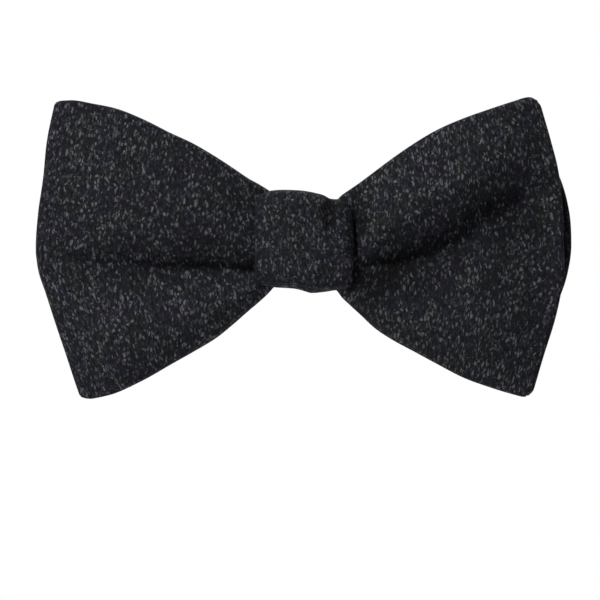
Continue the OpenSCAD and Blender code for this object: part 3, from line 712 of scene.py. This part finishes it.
def knot_ring(d, n=208, m=56):
    """Rings round the wrap at m+1 places across it. The wrap is narrower at the top and
    bottom than in front, where its edges bow out over the wings."""
    out = np.zeros((n, m + 1, 3))
    uv = np.zeros((n, m + 1, 3))
    for i in range(n):
        # position round a rounded box, as an angle from the front: t in [0, 4)
        t = i / n * 4
        for j in range(m + 1):
            q = j / m * 2 - 1
            side = int(t)
            f = t - side
            # width of the wrap at this place
            x0 = q * 10.55
            zt, zb = float(curve(knot_top, x0)) - d, float(curve(knot_bot, x0)) + d
            yf = FRONT_Y - float(curve(knot_front, x0)) + d
            yb = WRAP_BACK - d
            r = 4 - d
            # walk: 0 front face up, 1 over the top, 2 down the back, 3 under the bottom
            if side == 0: seg = ("front", f)
            elif side == 1: seg = ("top", f)
            elif side == 2: seg = ("back", f)
            else: seg = ("bottom", f)
            def corner(cy, cz, a0, s_):
                a = math.radians(a0 + 90 * s_)
                return cy + r * math.cos(a), cz + r * math.sin(a)
            cf, ct = 0.18, 0.25
            if seg[0] == "front":
                if f < cf:
                    y, z = corner(yf + r, zb + r, 225, f / cf * 0.5 * -1) if False else corner(yf + r, zb + r, 225 - 45 * f / cf, 0)
                elif f > 1 - cf:
                    y, z = corner(yf + r, zt - r, 180 - 45 * (f - 1 + cf) / cf, 0)
                else:
                    y, z = yf, mix(zb + r, zt - r, (f - cf) / (1 - 2 * cf))
            elif seg[0] == "top":
                if f < ct:
                    y, z = corner(yf + r, zt - r, 135 - 45 * f / ct, 0)
                elif f > 1 - ct:
                    y, z = corner(yb - r, zt - r, 90 - 45 * (f - 1 + ct) / ct, 0)
                else:
                    y, z = mix(yf + r, yb - r, (f - ct) / (1 - 2 * ct)), zt
            elif seg[0] == "back":
                if f < cf:
                    y, z = corner(yb - r, zt - r, 45 - 45 * f / cf, 0)
                elif f > 1 - cf:
                    y, z = corner(yb - r, zb + r, 0 - 45 * (f - 1 + cf) / cf, 0)
                else:
                    y, z = yb, mix(zt - r, zb + r, (f - cf) / (1 - 2 * cf))
            else:
                if f < ct:
                    y, z = corner(yb - r, zb + r, -45 - 45 * f / ct, 0)
                elif f > 1 - ct:
                    y, z = corner(yf + r, zb + r, -90 - 45 * (f - 1 + ct) / ct, 0)
                else:
                    y, z = mix(yb - r, yf + r, (f - ct) / (1 - 2 * ct)), zb
            mid, h = (zt + zb) / 2, (zt - zb) / 2
            e = (z - mid) / h
            frontness = 1 if y < yf + 1.5 else max(0.0, 1 - (y - yf - 1.5) / 4)
            y -= 0.6 * max(0.0, 1 - e * e) * frontness
            # narrower over the top and bottom
            pinch = 1 - (0.20 if q > 0 else 0.17) * float(smooth(0.90, 1.0, abs(e)))
            x = x0 * pinch + 0.25 * math.sin(e * 2.3 + 1) * (max(0.0, q) ** 3) - 0.7 * max(0.0, q) ** 2 * max(0.0, e)
            # soft folds down the wrap and the dimple at the upper right
            y_fold = 0.22 * math.sin(q * 4.2 + 0.9 * e) + 0.10 * math.sin(q * 9.0 - 1.4 * e + 1)
            # a pleat: its left lip is sharp and its floor rises slowly to the right
            edge = 4.1 + 0.10 * (9 - z)
            dim = 1.7 * float(smooth(edge - 0.4, edge + 0.7, x)) * float(smooth(edge + 6.5, edge + 0.9, x)) * float(smooth(-1.5, 4.5, z))
            lip = 0.35 * max(0.0, (abs(q) - 0.82) / 0.18) ** 2
            y += (y_fold + dim + lip) * frontness
            # the wrap's end laps over itself behind the knot
            lap_shade = 0.0
            if y > yb - 2.0:
                y += 0.24 * float(smooth(-0.25, 0.0, z)) * float(smooth(7.0, 2.5, z)) * (1.0 if d == 0 else 0.0)
                # a painted shade line along the lapped edge
                lap_shade = 0.85 * math.exp(-((z + 0.25) / 0.20) ** 2)
            out[i, j] = (x, y, z)
            # painted shade in the crease attribute: the lap line, the pleat's floor beside its lip, the wrap's right
            # edge (most at its lower part) and a little on its left edge
            uv[i, j, 2] = min(1.0, lap_shade + frontness * (0.70 * math.exp(-((x - edge - 1.1) / 1.8) ** 2) * float(smooth(-1.0, 5.5, z))
                                                + (0.16 + 0.50 * float(smooth(-6.0, -1.5, z))) * float(smooth(0.70, 1.0, q)) + 0.12 * float(smooth(0.9, 1.0, -q))))
    step = np.linalg.norm(np.diff(out[:, m // 2], axis=0), axis=1)
    uv[..., 1] = np.concatenate([[0], np.cumsum(step)])[:, None] * MM
    uv[..., 0] = np.linspace(-11, 11, m + 1)[None, :] * MM + 0.7
    return out, uv


ko, kuv = knot_ring(0.0)
ki, _ = knot_ring(WRAP_T - 0.15)
knot = slab("knot_wrap_cloth", ko * MM, ki * MM, kuv, [face_mat, lining_mat], closed_u=True)
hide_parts("knot_wrap", "knot_interlining")
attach(knot, "bow")


# ------------------------------------------------------------------ neckband
OUT_R = COLLAR_R + 4


def pol(phi, r, z):
    a = np.radians(phi)
    return np.stack([-r * np.sin(a), -r * np.cos(a), z + 0 * a], -1)


def mid_r(phi):
    c = -BAND_Y / np.cos(np.radians(phi))
    return np.where(phi > 0, mix(c, OUT_R, smooth(8, 22, phi)), mix(c, COLLAR_R + 0.02, smooth(9, 28, -phi)))


def band(name, path_in, path_out, half_w, nodes, uoff=0.0, rows=17, mat=None):
    """A flat strap. path_in and path_out are (n x 2) lines for its two faces in plan."""
    n = len(path_in)
    zs = np.linspace(-1, 1, rows)
    along = np.concatenate([[0], np.cumsum(np.linalg.norm(np.diff(path_out, axis=0), axis=1))])
    o, i_, uv = np.zeros((n, rows, 3)), np.zeros((n, rows, 3)), np.zeros((n, rows, 2))
    hw = half_w if hasattr(half_w, "__len__") else np.full(n, half_w)
    for k in range(n):
        e = 0.045 * np.sin(along[k] * 0.9)                       # the edge wavers a little
        c = 0.12 * (1 - zs ** 2)                                 # and the faces are crowned
        seam = 0.10 * np.exp(-((np.abs(zs) - 0.86) / 0.05) ** 2)   # pressed edge line
        d = path_out[k] - path_in[k]
        d = d / np.linalg.norm(d)
        o[k, :, :2] = path_out[k] - d * (0.12 - c + seam)[:, None]
        i_[k, :, :2] = path_in[k] + d * (0.12 - c + seam)[:, None]
        o[k, :, 2] = i_[k, :, 2] = zs * (hw[k] - 0.5 + e)
        uv[k, :, 0] = along[k] * MM + uoff
        uv[k, :, 1] = zs * half_w_max(hw) * MM + 0.2
    piece = slab(name, o * MM, i_ * MM, uv, [mat or band_mat, band_mat])
    if nodes:
        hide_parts(*nodes)
    return piece


def half_w_max(hw):
    return float(np.max(hw))


def arc_path(a, b, r, step=1.0):
    ph = np.linspace(a, b, max(3, int(abs(b - a) / step) + 1))
    return pol(ph, r, 0)[:, :2], ph


lines = []
# centre run, knot to both flex lines, and a little past them: each side's run blends over the flex
ph = np.linspace(-36, 36, 109)
r = mid_r(ph)
p_in, p_out = pol(ph, r, 0)[:, :2], pol(ph, r + BAND_T, 0)[:, :2]
hw = np.where(np.abs(ph) < 10.8, 6.8, mix(6.8, 7.5, smooth(10.8, 14, np.abs(ph))))
centre = band("band_centre", p_in, p_out, hw, ["band_centre_cover", "band_centre_stiffener"], 1.1)
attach(centre, "bow")

# left run, from the knot's side past the flex line
ph = np.linspace(35.6, 153, 170)
left = band("left_band", pol(ph, OUT_R, 0)[:, :2], pol(ph, OUT_R + BAND_T, 0)[:, :2], 7.5,
            ["left_band_cover", "left_band_stiffener"], 1.3)
ph = np.linspace(-150.3, -35.6, 170)
right = band("right_band", pol(ph, COLLAR_R, 0)[:, :2], pol(ph, COLLAR_R + BAND_T, 0)[:, :2], 7.5,
             ["right_band_cover", "right_band_stiffener"], 1.7)


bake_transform(left)
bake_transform(right)

# folded end that holds the hook: inner run, fold, outer run
LOOP_PHI = 172.0
LOOP_C = (COLLAR_R + OUT_R + BAND_T + 0.2 + BAND_T) / 2
LOOP_OR = LOOP_C - COLLAR_R


def fold_path(r_off):
    """In plan: the inner run, round the fold, back along the outer run. r_off is 0 on the outside of the fold."""
    ph1 = np.linspace(125, LOOP_PHI, 60)
    a = pol(ph1, COLLAR_R + r_off, 0)[:, :2]
    c = pol(np.array(LOOP_PHI), LOOP_C, 0)[:2]
    rad = np.array([-math.sin(math.radians(LOOP_PHI)), -math.cos(math.radians(LOOP_PHI))])   # outward
    tan = np.array([-math.cos(math.radians(LOOP_PHI)), math.sin(math.radians(LOOP_PHI))])    # towards more phi
    th = np.linspace(-90, 90, 25)[1:-1]
    f = np.array([c + (LOOP_OR - r_off) * (tan * math.cos(math.radians(t)) + rad * math.sin(math.radians(t))) for t in th])
    ph2 = np.linspace(LOOP_PHI, 134, 48)
    b = pol(ph2, OUT_R + 2 * BAND_T + 0.2 - r_off, 0)[:, :2]
    return np.concatenate([a, f, b])


hook_end = band("hook_end_strap", fold_path(BAND_T), fold_path(0.0), 7.5, ["hook_end_loop"], 2.1)
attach(hook_end, "hook_end")

# tab on the slide: one run and the turn round the slide's middle bar
SLIDE_PHI = 100.0
SLIDE_C = COLLAR_R + 1.9


def tab_piece(name, phi0, phi_ring, phi1, r0, thick, ring_c, ring_r, half_w, nodes, u0):
    """A tab that leaves its run and turns once round a wire."""
    sgn = 1 if phi1 > phi_ring else -1
    ph = np.linspace(phi1, phi_ring + sgn * 1.9, 40)
    c = pol(np.array(float(phi_ring)), ring_c, 0)[:2]
    rad = np.array([-math.sin(math.radians(phi_ring)), -math.cos(math.radians(phi_ring))])
    tan = sgn * np.array([-math.cos(math.radians(phi_ring)), math.sin(math.radians(phi_ring))])
    run_i, run_o = pol(ph, r0, 0)[:, :2], pol(ph, r0 + thick, 0)[:, :2]
    th = np.linspace(62, 62 + 238, 40)
    # the run's outer face becomes the outside of the turn
    ring_o = np.array([c + (ring_r + thick) * (tan * math.cos(math.radians(t)) + rad * math.sin(math.radians(t))) for t in th])
    ring_i = np.array([c + ring_r * (tan * math.cos(math.radians(t)) + rad * math.sin(math.radians(t))) for t in th])
    return band(name, np.concatenate([run_i, ring_i]), np.concatenate([run_o, ring_o]), half_w, nodes, u0)


slide_tab = tab_piece("slide_tab_cloth", 0, SLIDE_PHI, 145, COLLAR_R + 1.4, 0.8, SLIDE_C, 0.8, 7.0, ["slide_tab"], 2.6)
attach(slide_tab, "slide")
EYE_PHI, EYE_C = -152.0, COLLAR_R + 1.65
eye_tab = tab_piece("eye_tab_cloth", 0, EYE_PHI, EYE_PHI + 9, COLLAR_R + BAND_T + 0.05, 0.7, EYE_C, 0.7, 7.0, ["eye_tab"], 2.9)
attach(eye_tab, "right_band")


# ------------------------------------------------------------------ metal and thread
for n in ("slide_adjuster", "band_hook", "band_eye"):
    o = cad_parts[n]
    o.data.materials.clear()
    o.data.materials.append(metal_mat)
for n in ("knot_stitches", "slide_tab_stitches", "eye_tab_stitches"):
    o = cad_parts[n]
    o.data.materials.clear()
    o.data.materials.append(thread_mat)


# ------------------------------------------------------------------ stage and light
def plain(name, value):
    k = Nodes(name)
    n = k.add("ShaderNodeTexNoise")
    n.inputs["Scale"].default_value = 3
    k.link(k.ramp(n.outputs["Fac"], [(0.0, value * 0.995), (1.0, value)]), k.b.inputs["Base Color"])
    k.b.inputs["Roughness"].default_value = 0.9
    return k.mat


bpy.ops.mesh.primitive_circle_add(vertices=96, radius=1.55, fill_type="NGON", location=(0, 0, -0.30))
floor = bpy.context.object
floor.name = "floor"
paint = plain("floor_paint", 0.92)
# the floor looks evenly lit, without adding light of its own to the object
ft = paint.node_tree
glow, seen, both = ft.nodes.new("ShaderNodeEmission"), ft.nodes.new("ShaderNodeLightPath"), ft.nodes.new("ShaderNodeMixShader")
glow.inputs["Color"].default_value = (0.93, 0.93, 0.935, 1)
share_ = ft.nodes.new("ShaderNodeMath")
share_.operation = "MULTIPLY"
share_.inputs[1].default_value = 0.85
ft.links.new(seen.outputs["Is Camera Ray"], share_.inputs[0])
ft.links.new(share_.outputs[0], both.inputs[0])
ft.links.new(ft.nodes["Principled BSDF"].outputs[0], both.inputs[1])
ft.links.new(glow.outputs[0], both.inputs[2])
ft.links.new(both.outputs[0], ft.nodes["Material Output"].inputs["Surface"])
floor.data.materials.append(paint)

# a bright sweep behind the object, and a softer room, lighter above than below, that lights it
world = bpy.data.worlds.new("world")
scene.world = world
world.use_nodes = True
wt = world.node_tree
bg = wt.nodes["Background"]
bg.inputs["Color"].default_value = (1, 1, 1, 1)
bg.inputs["Strength"].default_value = 1.0
room = wt.nodes.new("ShaderNodeBackground")
sky = wt.nodes.new("ShaderNodeValToRGB")
tc, sep, mr = wt.nodes.new("ShaderNodeTexCoord"), wt.nodes.new("ShaderNodeSeparateXYZ"), wt.nodes.new("ShaderNodeMapRange")
mr.inputs["From Min"].default_value = -1
wt.links.new(tc.outputs["Generated"], sep.inputs[0])
wt.links.new(sep.outputs["Z"], mr.inputs["Value"])
wt.links.new(mr.outputs[0], sky.inputs[0])
sky.color_ramp.elements[0].position, sky.color_ramp.elements[0].color = 0.3, (0.16, 0.16, 0.165, 1)
sky.color_ramp.elements[1].position, sky.color_ramp.elements[1].color = 0.85, (1, 1, 1, 1)
wt.links.new(sky.outputs[0], room.inputs["Color"])
room.inputs["Strength"].default_value = 0.11
lp, mx = wt.nodes.new("ShaderNodeLightPath"), wt.nodes.new("ShaderNodeMixShader")
wt.links.new(lp.outputs["Is Camera Ray"], mx.inputs[0])
wt.links.new(room.outputs[0], mx.inputs[1])
wt.links.new(bg.outputs[0], mx.inputs[2])
wt.links.new(mx.outputs[0], wt.nodes["World Output"].inputs["Surface"])
scene.view_settings.view_transform = "Standard"


def area(name, loc, size, power, look=(0, -0.07, 0)):
    d = bpy.data.lights.new(name, "AREA")
    d.shape, d.size, d.energy = "SQUARE", size, power
    o = bpy.data.objects.new(name, d)
    scene.collection.objects.link(o)
    o.location = loc
    o.rotation_euler = (Vector(look) - Vector(loc)).to_track_quat("-Z", "Y").to_euler()
    return o


area("key", (-0.42, -0.72, 0.90), 0.30, 8.3)
area("fill", (-0.36, -0.62, 0.10), 0.5, 0.60)
area("back", (0.5, 1.0, 0.8), 0.6, 9, look=(0, 0, 0))
